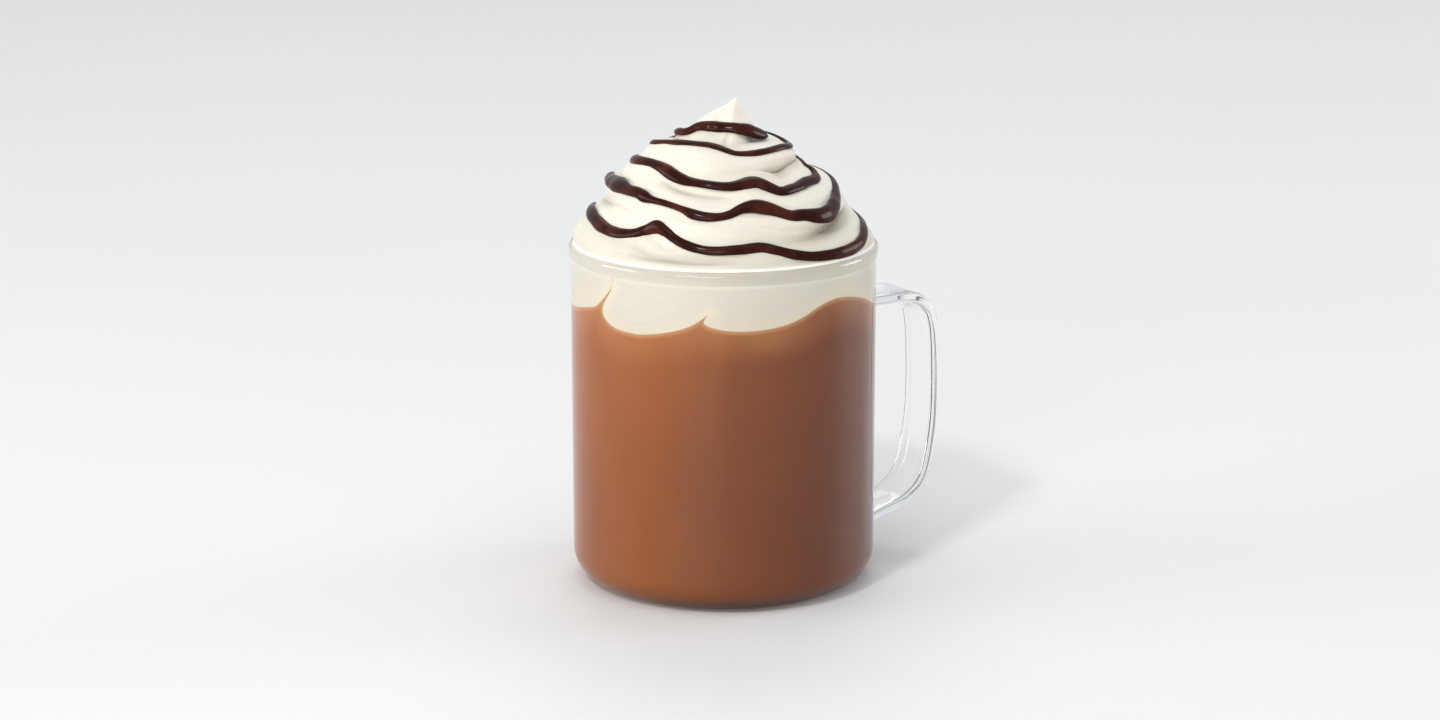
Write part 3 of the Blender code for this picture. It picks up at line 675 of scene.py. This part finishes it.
# %% Write down the route
DRIZZLE_LAPS = [
    [(136, 8.4, 1.2), (150, 8.9, 2.2), (160, 8.7, 2.7), (170, 8.0, 2.8), (180, 7.1, 2.7),
     (190, 6.9, 2.5), (199, 7.8, 2.2), (204, 9.0, 2.3), (210, 10.3, 2.8), (215, 9.2, 2.3),
     (220, 7.4, 1.9), (227, 5.5, 1.9), (235, 4.4, 1.8), (246, 4.6, 2.0), (255, 5.0, 2.4),
     (261, 3.8, 2.5), (268, 2.0, 2.2), (277, 0.9, 2.1), (291, 0.6, 2.6), (300, 1.0, 2.6),
     (308, 2.2, 2.3), (315, 3.6, 1.9), (322, 4.6, 1.6), (331, 5.2, 1.4), (345, 6.5, 1.4),
     (352, 8.0, 1.8)],
    [(5, 9.2, 2.2), (18, 10.8, 2.4), (30, 11.2, 2.0), (42, 9.9, 1.7), (55, 9.6, 1.9), (68, 11.4, 2.4),
     (80, 13.6, 2.6), (92, 14.2, 2.2), (104, 13.3, 1.8), (114, 13.9, 1.8), (126, 16.4, 2.1),
     (144, 19.2, 2.8), (158, 20.4, 3.6), (168, 20.8, 4.0), (178, 20.5, 3.4), (188, 19.7, 2.4),
     (196, 19.3, 2.5), (201, 18.4, 2.6), (206, 17.7, 1.6), (214, 17.0, 1.4), (222, 15.7, 1.5),
     (227, 14.3, 2.2), (233, 13.6, 2.2), (239, 13.7, 1.9), (244, 14.5, 1.9), (249, 15.9, 2.1),
     (254, 16.5, 2.8), (258, 16.4, 3.1), (264, 15.3, 2.7), (271, 13.1, 2.4), (278, 12.7, 2.9),
     (287, 11.8, 3.4), (296, 12.2, 3.5), (305, 13.9, 3.1), (317, 15.6, 2.4), (328, 16.9, 2.0),
     (338, 17.6, 1.6), (349, 18.1, 1.5)],
    [(0, 19.2, 1.7), (14, 21.6, 2.2), (26, 23.2, 2.4), (40, 22.9, 1.9), (54, 22.0, 1.7), (68, 23.0, 2.0),
     (82, 25.4, 2.5), (96, 26.0, 2.2), (108, 25.0, 1.8), (120, 25.4, 1.8), (136, 27.4, 2.0),
     (158, 28.6, 2.3), (174, 29.0, 2.2), (187, 29.2, 2.0), (197, 28.8, 2.3), (205, 28.0, 2.7),
     (213, 26.7, 2.8), (221, 25.6, 2.4), (231, 24.5, 2.2), (242, 23.4, 2.4), (249, 23.2, 2.5),
     (255, 23.8, 2.9), (261, 24.6, 3.3), (266, 24.4, 3.5), (271, 22.4, 3.1), (276, 20.4, 2.5),
     (286, 21.1, 2.5), (302, 22.2, 2.6), (313, 21.8, 2.5), (321, 22.2, 2.1), (326, 24.4, 1.6),
     (330, 26.6, 1.3)],
    [(0, 28.8, 1.4), (20, 29.8, 1.8), (38, 31.4, 2.1), (56, 31.5, 1.7), (74, 31.2, 1.6), (92, 33.0, 2.0),
     (110, 35.0, 2.2), (128, 34.8, 1.8), (146, 35.0, 1.6), (164, 36.0, 1.7), (178, 37.8, 2.0),
     (189, 38.8, 2.3), (203, 39.7, 2.1), (214, 40.3, 2.1), (227, 41.1, 2.3), (239, 40.2, 2.3),
     (247, 38.3, 2.0), (254, 36.6, 1.8), (264, 36.0, 1.7), (278, 35.5, 1.7), (293, 35.2, 1.6),
     (309, 34.8, 1.8), (324, 34.0, 1.7), (345, 33.8, 1.2)],
    [(5, 34.9, 1.5), (28, 36.8, 1.8), (50, 38.9, 2.1), (75, 40.3, 1.9), (98, 39.6, 1.6),
     (120, 40.6, 1.8), (142, 41.8, 1.9), (162, 42.8, 2.1), (170, 44.2, 2.3), (176, 46.0, 2.3),
     (196, 47.3, 2.4), (220, 48.0, 2.6), (249, 47.4, 2.6), (272, 46.2, 2.9), (297, 45.2, 3.6),
     (316, 43.4, 3.3), (325, 41.6, 2.6), (329, 40.0, 1.2)],
]
DRIZZLE_WIDENING = 1.28
DRIZZLE_FLATNESS = 0.62
DRIZZLE_LIFT = 0.2
DRIZZLE_SIDES = 18
DRIZZLE_STEP = 0.55
SURFACE_STEP = 0.8
END_LENGTH = 2.0
ROUTE_STEPS = 16
WANDER = 0.12
WANDER_PACE = 0.21
WANDER_PLACE = 3.7


def drizzle_route():
    """Even stops along the drizzle: angle, distance up the dome and width at each."""
    knots = [(angle + 360 * lap, distance, width)
             for lap, stretch in enumerate(DRIZZLE_LAPS) for angle, distance, width in stretch]
    route = smooth_through(knots, ROUTE_STEPS)
    line = cream_surface(route[:, 0], route[:, 1])
    length = np.concatenate([[0], np.cumsum(np.linalg.norm(np.diff(line, axis=0), axis=1))])
    stops = np.linspace(0, length[-1], int(length[-1] / DRIZZLE_STEP))
    print("the drizzle is", round(length[-1]), "mm long")
    return stops, *(np.interp(stops, length, column) for column in route.T)


# %% Lay the drizzle
def steadied(vectors, reach):
    """Unit vectors along a line, averaged with their neighbours so that the bead doesn't twist."""
    weights = np.hanning(2 * reach + 3)[1:-1]
    padded = np.pad(vectors, ((reach, reach), (0, 0)), mode="edge")
    calm = np.column_stack([np.convolve(padded[:, k], weights, mode="valid") for k in range(3)])
    return calm / np.linalg.norm(calm, axis=1)[:, None]


def drizzle():
    """The drizzle: a flattened bead along the cream's surface, with rounded ends."""
    stops, angles, distances, widths = drizzle_route()
    middle = cream_surface(angles, distances)
    above = cream_surface(angles, distances + SURFACE_STEP)
    upward = above - cream_surface(angles, distances - SURFACE_STEP)
    along = np.gradient(middle, axis=0)
    normal = steadied(np.cross(along, upward), 5)
    across = steadied(np.cross(normal, along), 3)
    from_end = np.clip(np.minimum(stops, stops[-1] - stops) / END_LENGTH, 0.02, 1)
    widths = widths * np.sqrt(1 - (1 - from_end) ** 2)
    wander = np.array([noise.noise(Vector((WANDER_PACE * stop, WANDER_PLACE, 0.0))) for stop in stops])
    widths = widths * (1 + WANDER * wander) * DRIZZLE_WIDENING
    turns = np.radians(np.arange(DRIZZLE_SIDES) * 360 / DRIZZLE_SIDES)
    rings = []
    for point, out, side, width in zip(middle, normal, across, widths):
        wide, side_shade = width / 2 * side, width / 2 * DRIZZLE_FLATNESS * out
        rings.append([point + DRIZZLE_LIFT * out + np.cos(a) * wide + np.sin(a) * side_shade for a in turns])
    return skin("chocolate_drizzle", rings, np.mean(rings[0], axis=0), np.mean(rings[-1], axis=0))


drizzle_piece = drizzle()
face_outwards(drizzle_piece.data)

# %% [markdown]
# ## Materials
# A material is a small network of nodes that ends in one shader. The helpers below keep each finish short
# to write: one starts a material and fills in the plain numbers on the shader, one adds a node with its
# inputs. The patterns all use the object's own coordinates, which are metres here, so a scale of 100
# means a pattern about one centimetre large.

# %% Helpers for materials
def new_material(name, **numbers):
    """A material with its shader's plain numbers set; returns it with its node tree and shader."""
    material = bpy.data.materials.new(name)
    material.use_nodes = True
    shader = material.node_tree.nodes["Principled BSDF"]
    for socket, value in numbers.items():
        shader.inputs[socket.replace("_", " ")].default_value = value
    return material, material.node_tree, shader


def add_node(tree, kind, inputs=(), **settings):
    """Adds a node; inputs are (socket, value or other node's output) pairs."""
    node = tree.nodes.new(kind)
    for key, value in settings.items():
        setattr(node, key, value)
    for socket, value in inputs:
        if isinstance(value, bpy.types.NodeSocket):
            tree.links.new(value, node.inputs[socket])
        else:
            node.inputs[socket].default_value = value
    return node


def noise_pattern(tree, scale, detail, stretch=(1, 1, 1)):
    """A cloudy pattern in the object's own space; stretch squeezes it along an axis."""
    place = add_node(tree, "ShaderNodeTexCoord")
    mapped = add_node(tree, "ShaderNodeMapping", [("Vector", place.outputs["Object"]), ("Scale", stretch)])
    return add_node(tree, "ShaderNodeTexNoise", [("Vector", mapped.outputs[0]), ("Scale", scale),
                                                 ("Detail", detail)]).outputs["Fac"]


def ramp(tree, value, low, high, from_value, to_value):
    """Maps a value smoothly from one range to another."""
    node = add_node(tree, "ShaderNodeMapRange", [("Value", value), ("From Min", low), ("From Max", high),
                                                 ("To Min", from_value), ("To Max", to_value)],
                    interpolation_type="SMOOTHSTEP")
    return node.outputs["Result"]


def blend_colours(tree, share, first, second):
    """Mixes two colours, or outputs that carry a colour, by a share."""
    mix = add_node(tree, "ShaderNodeMix", data_type="RGBA")
    tree.links.new(share, mix.inputs["Factor"])
    for socket, colour in ((mix.inputs[6], first), (mix.inputs[7], second)):
        if isinstance(colour, bpy.types.NodeSocket):
            tree.links.new(colour, socket)
        else:
            socket.default_value = (*colour, 1.0)
    return mix.outputs[2]


def multiply_colours(tree, first, second):
    """Darkens one colour output by another, as a glaze does."""
    mix = add_node(tree, "ShaderNodeMix", data_type="RGBA", blend_type="MULTIPLY")
    mix.inputs["Factor"].default_value = 1.0
    tree.links.new(first, mix.inputs[6])
    tree.links.new(second, mix.inputs[7])
    return mix.outputs[2]


def add_bump(tree, shader, height, strength, distance):
    """Tilts the shading by a height pattern; distance is in metres."""
    bump = add_node(tree, "ShaderNodeBump", [("Height", height), ("Strength", strength),
                                             ("Distance", distance)])
    tree.links.new(bump.outputs["Normal"], shader.inputs["Normal"])


# %% [markdown]
# ### Glass
# Kitchen glass is colourless and clear, and what the eye sees is the light that it bends and mirrors. It
# could be faked with a see-through shader, but then nothing behind the wall would shift and the rim would
# vanish. Full transmission with the real refractive index does it properly. Pressed glass is never quite
# flat, so a very low wave runs over it, and faint washing marks change how sharp the mirror is.

# %% Make the glass finish
GLASS_INDEX = 1.5
GLASS_TINT = (0.985, 0.995, 0.99)


def glass_finish():
    """Clear glass, with a faint wave and faint washing marks."""
    material, tree, shader = new_material("clear_glass", Base_Color=(*GLASS_TINT, 1.0), IOR=GLASS_INDEX,
                                          Transmission_Weight=1.0)
    marks = noise_pattern(tree, 55, 4)
    tree.links.new(ramp(tree, marks, 0.45, 0.7, 0.0, 0.035), shader.inputs["Roughness"])
    add_bump(tree, shader, noise_pattern(tree, 38, 1), 0.12, 0.4 * MM)
    return material


glass.data.materials.append(glass_finish())
print("glass: refractive index", GLASS_INDEX)

# %% [markdown]
# ### Hot chocolate
# Cocoa in milk is an opaque warm brown. One flat brown would look like paint, because in the cup the milk
# is not evenly stirred: faint clouds run through it, and just under the cream it is paler where cream has
# melted in. The distance to the wavy line, which was stored on the mesh, drives that paler band, and a
# stretched noise makes the clouds. Shade is also painted into the colour: the side away from the key light
# is painted darker, the lower part darker and the top a little lighter. Scattering light inside the drink
# would give some of that slowly; two wide gradients in the drink's own space, one across it and one up it,
# paint it at once.

# %% Make the drink's finish
COCOA = (0.445, 0.134, 0.021)
COCOA_DARK = (0.40, 0.115, 0.015)
COCOA_MILKY = (0.70, 0.30, 0.105)
COCOA_MELT = (0.72, 0.38, 0.18)
# Painted shade: the drink's colour is darkened across its width, most on the side away from the key light.
SHADED_SIDE_ANGLE = 325.0
PAINTED_SIDE_SHADE = (0.50, 0.38, 0.37)
# Painted shade and light up the drink: darker and warmer low down, a little lighter near the top.
PAINTED_LOW_SHADE = (0.88, 0.81, 0.72)
PAINTED_HIGH_LIGHT = (1.04, 1.03, 1.03)
PAINTED_SHADE_HEIGHTS = (22.0, 72.0)
MILKY_BAND = 11.0
MELT_BAND = 1.5


def drink_finish():
    """Milky cocoa with faint clouds, paler under the cream, with painted shade at one side and low down."""
    material, tree, shader = new_material("milky_cocoa", Roughness=0.45, Specular_IOR_Level=0.0)
    near = add_node(tree, "ShaderNodeAttribute", attribute_name="line_distance").outputs["Fac"]
    clouds = ramp(tree, noise_pattern(tree, 38, 3, (1, 1, 0.45)), 0.35, 0.7, 0, 1)
    colour = blend_colours(tree, clouds, COCOA, COCOA_DARK)
    # Painted shade across the drink, darkest on the side away from the key light.
    place = add_node(tree, "ShaderNodeTexCoord")
    turned = add_node(tree, "ShaderNodeVectorRotate",
                      [("Vector", place.outputs["Object"]), ("Angle", -np.radians(SHADED_SIDE_ANGLE))],
                      rotation_type="Z_AXIS")
    side = add_node(tree, "ShaderNodeSeparateXYZ", [(0, turned.outputs[0])]).outputs["X"]
    across = ramp(tree, side, -INNER_RADIUS * MM, INNER_RADIUS * MM, 0, 1)
    side_shade = blend_colours(tree, across, (1, 1, 1), PAINTED_SIDE_SHADE)
    colour = multiply_colours(tree, colour, side_shade)
    # Painted shade low in the drink and a touch of painted light near its top.
    height = add_node(tree, "ShaderNodeSeparateXYZ", [(0, place.outputs["Object"])]).outputs["Z"]
    up_the_drink = ramp(tree, height, *(z * MM for z in PAINTED_SHADE_HEIGHTS), 0, 1)
    low = blend_colours(tree, up_the_drink, PAINTED_LOW_SHADE, PAINTED_HIGH_LIGHT)
    colour = multiply_colours(tree, colour, low)
    patch = noise_pattern(tree, 60, 3)
    milky = add_node(tree, "ShaderNodeMath", [(0, ramp(tree, near, 0, MILKY_BAND, 0.8, 0)), (1, patch)],
                     operation="MULTIPLY").outputs[0]
    colour = blend_colours(tree, milky, colour, COCOA_MILKY)
    colour = blend_colours(tree, ramp(tree, near, 0, MELT_BAND, 0.8, 0), colour, COCOA_MELT)
    tree.links.new(colour, shader.inputs["Base Color"])
    add_bump(tree, shader, clouds, 0.05, 0.3 * MM)
    return material


chocolate.data.materials.append(drink_finish())
print("drink colours, linear:", COCOA, COCOA_DARK, COCOA_MILKY)

# %% [markdown]
# ### Whipped cream
# Whipped cream is a foam. Light goes a few millimetres in and comes out again, which softens every shadow
# and warms the creases. A white plastic finish would look like plaster. Subsurface scattering gives the
# softness, a little sheen gives the velvet edge, and two fine patterns break the surface: tiny bubbles,
# and flow lines that run level round the dome. The depth of the creases, kept on the mesh, drives painted
# shade that darkens them, and the lowest part of the dome, just above the rim, carries painted shade too.
# Behind the glass the foam is given a whiter colour, partly because foam pressed flat and wet is whiter
# and partly as painted light; at the rim a painted highlight line and a painted darker band stand in for
# the glass bead's light and shade. Where it touches the drink it has melted to a thin warm edge.

# %% Make the cream's finish
CREAM = (0.635, 0.598, 0.518)
CREAM_WARM = (0.59, 0.545, 0.455)
# Cream behind the glass is whiter, partly because foam pressed flat and wet is whiter and partly as painted
# light.
PRESSED_CREAM_WITH_PAINTED_LIGHT = (0.89, 0.845, 0.745)
CREAM_EDGE = (1.0, 0.90, 0.71)
EDGE_BAND = 3.8
# Painted shade in the creases: the deeper the crease, the darker the cream's colour.
PAINTED_CREASE_SHADE = (0.52, 0.49, 0.45)
DEEPEST_CREASE = 3.6
# Painted shade on the lowest part of the dome, just above the rim, fading out upwards.
PAINTED_FOOT_SHADE = (0.84, 0.84, 0.82)
PAINTED_FOOT_SHADE_BAND = (98.0, 107.0)
# Painted highlight and shade at the rim: a paler line at the bead's foot and a darker band under the bead.
PAINTED_RIM_LIGHT_SHADE = [(89.6, 1.0), (90.5, 1.1), (91.0, 1.1), (91.8, 0.88), (93.2, 0.86), (94.2, 1.04), (95.0, 1.04)]
OUTSIDE = (94.8, 96.0)
BUBBLE_SHARE = 0.35
SCATTER_DEPTH = 1.2


def cream_finish():
    """Soft cream with painted shade and highlight, flow lines, fine bubbles and a warm edge along the
    drink.
    """
    material, tree, shader = new_material("whipped_cream_foam", Roughness=0.5, Subsurface_Weight=0.5,
                                          Subsurface_Radius=(1.0, 0.85, 0.65),
                                          Subsurface_Scale=SCATTER_DEPTH * MM, Sheen_Weight=0.05,
                                          Sheen_Roughness=0.4, Specular_IOR_Level=0.2)
    near = add_node(tree, "ShaderNodeAttribute", attribute_name="line_distance").outputs["Fac"]
    warmth = noise_pattern(tree, 45, 3, (0.5, 0.5, 2.0))
    colour = blend_colours(tree, ramp(tree, warmth, 0.35, 0.7, 0, 0.6), CREAM, CREAM_WARM)
    # Painted shade in the creases, driven by their stored depth.
    depth = add_node(tree, "ShaderNodeAttribute", attribute_name="crease_depth").outputs["Fac"]
    shade = blend_colours(tree, ramp(tree, depth, 0.6, DEEPEST_CREASE, 0, 1), (1, 1, 1), PAINTED_CREASE_SHADE)
    colour = multiply_colours(tree, colour, shade)
    place = add_node(tree, "ShaderNodeTexCoord")
    height = add_node(tree, "ShaderNodeSeparateXYZ", [(0, place.outputs["Object"])]).outputs["Z"]
    # Painted shade low on the dome.
    up_the_foot = ramp(tree, height, *(z * MM for z in PAINTED_FOOT_SHADE_BAND), 0, 1)
    foot = blend_colours(tree, up_the_foot, PAINTED_FOOT_SHADE, (1, 1, 1))
    colour = multiply_colours(tree, colour, foot)
    # Painted highlight and shade at the rim, ramped by height.
    lip_low, lip_high = PAINTED_RIM_LIGHT_SHADE[0][0] * MM, PAINTED_RIM_LIGHT_SHADE[-1][0] * MM
    up_the_lip = add_node(tree, "ShaderNodeMapRange", [("Value", height), ("From Min", lip_low),
                                                       ("From Max", lip_high)])
    rim_light_shade = add_node(tree, "ShaderNodeValToRGB", [(0, up_the_lip.outputs["Result"])])
    stops = rim_light_shade.color_ramp.elements
    shares = [(level * MM - lip_low) / (lip_high - lip_low) for level, tone in PAINTED_RIM_LIGHT_SHADE]
    for share in shares[1:-1]:
        stops.new(share)
    for stop, (level, tone) in zip(stops, PAINTED_RIM_LIGHT_SHADE):
        stop.color = [tone * c for c in PRESSED_CREAM_WITH_PAINTED_LIGHT] + [1.0]
    # Whiter cream behind the glass, partly painted light.
    at_glass = ramp(tree, height, *(z * MM for z in OUTSIDE), 1, 0)
    colour = blend_colours(tree, at_glass, colour, rim_light_shade.outputs["Color"])
    colour = blend_colours(tree, ramp(tree, near, 0, EDGE_BAND, 1, 0), colour, CREAM_EDGE)
    tree.links.new(colour, shader.inputs["Base Color"])
    flow = noise_pattern(tree, 120, 4, (0.22, 0.22, 3.0))
    bubbles = noise_pattern(tree, 900, 3)
    grain = add_node(tree, "ShaderNodeMath", [(0, bubbles), (1, BUBBLE_SHARE), (2, flow)],
                     operation="MULTIPLY_ADD")
    add_bump(tree, shader, grain.outputs[0], 0.5, 0.5 * MM)
    return material


cream_piece.data.materials.append(cream_finish())
print("cream colours, linear:", CREAM, CREAM_WARM, CREAM_EDGE)

# %% [markdown]
# ### Chocolate sauce
# The sauce is nearly black-brown and wet. Its base is a slightly rough dark brown, and a thin clear coat
# on top carries the sharp light. That is close to what it is: pigment below and a film of syrup above.
# Its colour shifts a little to red in patches, as sauce does where it lies thin.

# %% Make the sauce's finish
SAUCE = (0.019, 0.0028, 0.0012)
SAUCE_THIN = (0.050, 0.0100, 0.0055)


def sauce_finish():
    """Dark glossy sauce, a little redder in patches."""
    material, tree, shader = new_material("chocolate_sauce", Coat_Weight=0.2, Coat_Roughness=0.1,
                                          Coat_IOR=1.4, Specular_IOR_Level=0.03)
    patches = noise_pattern(tree, 160, 3)
    colour = blend_colours(tree, ramp(tree, patches, 0.4, 0.75, 0, 1), SAUCE, SAUCE_THIN)
    tree.links.new(colour, shader.inputs["Base Color"])
    tree.links.new(ramp(tree, patches, 0.3, 0.7, 0.22, 0.38), shader.inputs["Roughness"])
    add_bump(tree, shader, noise_pattern(tree, 420, 2), 0.18, 0.3 * MM)
    return material


drizzle_piece.data.materials.append(sauce_finish())
print("sauce colours, linear:", SAUCE, SAUCE_THIN)

# %% [markdown]
# ## Hand the pieces to the frame
# Nothing on a mug of cocoa moves on its own, so every piece rides on the one body of the frame. Each fine
# piece then stands for the plain solid whose place it takes. The drizzle stands for the same solid as the
# cream, because in the frame they are one.

# %% Ride and replace the plain solids
for piece, node, slot in ((glass, "glass_mug", "glass"),
                          (chocolate, "hot_chocolate", "drink"),
                          (cream_piece, "whipped_cream", "cream"),
                          (drizzle_piece, "whipped_cream", "drizzle")):
    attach(piece, "root")
    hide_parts(node)
    print(piece.name, "stands for", node)

# %% [markdown]
# ## The table
# A plain pale surface catches the soft shadow, and it throws light back up into the foot of the glass,
# which is why the bottom of the drink looks warmer than its middle; the painted shade low in the drink
# warms it too. One large sheet is enough; a very faint, broad change in its tone keeps it from looking
# like a screen.

# %% Lay the table
TABLE_SIZE = 6000.0
TABLE_CELLS = 60
TABLE_COLOUR = (0.665, 0.66, 0.645)
TABLE_SHADE = 0.985


def table():
    """A large level sheet just under the mug."""
    bm = bmesh.new()
    bmesh.ops.create_grid(bm, x_segments=TABLE_CELLS, y_segments=TABLE_CELLS, size=TABLE_SIZE / 2 * MM)
    mesh = bpy.data.meshes.new("table")
    bm.to_mesh(mesh)
    bm.free()
    piece = link_piece("table", mesh)
    material, tree, shader = new_material("pale_table", Roughness=0.6)
    tone = ramp(tree, noise_pattern(tree, 3, 2), 0.3, 0.7, 0, 1)
    colour = blend_colours(tree, tone, TABLE_COLOUR, tuple(TABLE_SHADE * c for c in TABLE_COLOUR))
    tree.links.new(colour, shader.inputs["Base Color"])
    piece.data.materials.append(material)
    return piece


table()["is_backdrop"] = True

# %% [markdown]
# ## The light
# Two large softboxes stand low at the left and left front, so the left of the drink glows and its right
# side stays deep brown; painted shade on that side of the drink deepens it further. A weaker one at the
# right and a faint one overhead keep the shadows on the cream soft. A high one behind the mug brightens the
# table there, and the wall mirrors that table as pale upright edges. A small lamp at the left front draws
# the sharp glints on sauce and rim. Point lamps would make hard shadows, so area lights are used, and a
# pale world fills the rest.

# %% Set up the softboxes
AIM_AT = Vector((0, 0, 75)) * MM
# Name, angle round the mug, angle above the table, distance, width, height and power in watts
SOFTBOXES = [
    ("key", 158, 8, 2000, 1300, 900, 21.0),
    ("front", 222, 7, 2100, 1300, 800, 20.0),
    ("top", 250, 66, 1700, 1300, 1000, 3.0),
    ("right", 348, 8, 1900, 800, 900, 15.0),
    ("floor_wash", 60, 52, 2000, 1300, 1000, 8.0),
    ("glint", 212, 44, 1500, 160, 160, 8.0),
]


def softbox(name, angle, height_angle, distance, width, height, watts):
    """A rectangular light at an angle round the mug and an angle above the table, aimed at the mug."""
    light = bpy.data.lights.new(name, "AREA")
    light.shape = "RECTANGLE"
    light.size, light.size_y, light.energy = width * MM, height * MM, watts
    lamp = bpy.data.objects.new(name, light)
    bpy.context.scene.collection.objects.link(lamp)
    turn, tilt = np.radians(angle), np.radians(height_angle)
    way = Vector((np.cos(turn) * np.cos(tilt), np.sin(turn) * np.cos(tilt), np.sin(tilt)))
    lamp.location = AIM_AT + way * distance * MM
    lamp.rotation_euler = way.to_track_quat("Z", "Y").to_euler()
    print(f"{name}: {watts} W at {angle} degrees")


for box in SOFTBOXES:
    softbox(*box)

# %% Set the world and the colours
WORLD_COLOUR = (0.93, 0.96, 1.0)
WORLD_STRENGTH = 0.76

world = bpy.data.worlds.new("studio")
world.use_nodes = True
background = world.node_tree.nodes["Background"]
background.inputs["Color"].default_value = (*WORLD_COLOUR, 1.0)
background.inputs["Strength"].default_value = WORLD_STRENGTH
bpy.context.scene.world = world
bpy.context.scene.view_settings.view_transform = "Standard"
print("world strength:", WORLD_STRENGTH)

# %% [markdown]
# ## The size
# The fine model has to fit the space of the plain one. Both boxes are printed, in millimetres.

visual_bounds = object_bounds()
boxes = {"cad": [list(corner) for corner in cad_bounds],
         "visual": [list(corner) for corner in visual_bounds]}
for name, box in boxes.items():
    print(name, "box in mm:", [[round(c / MM, 2) for c in corner] for corner in box])
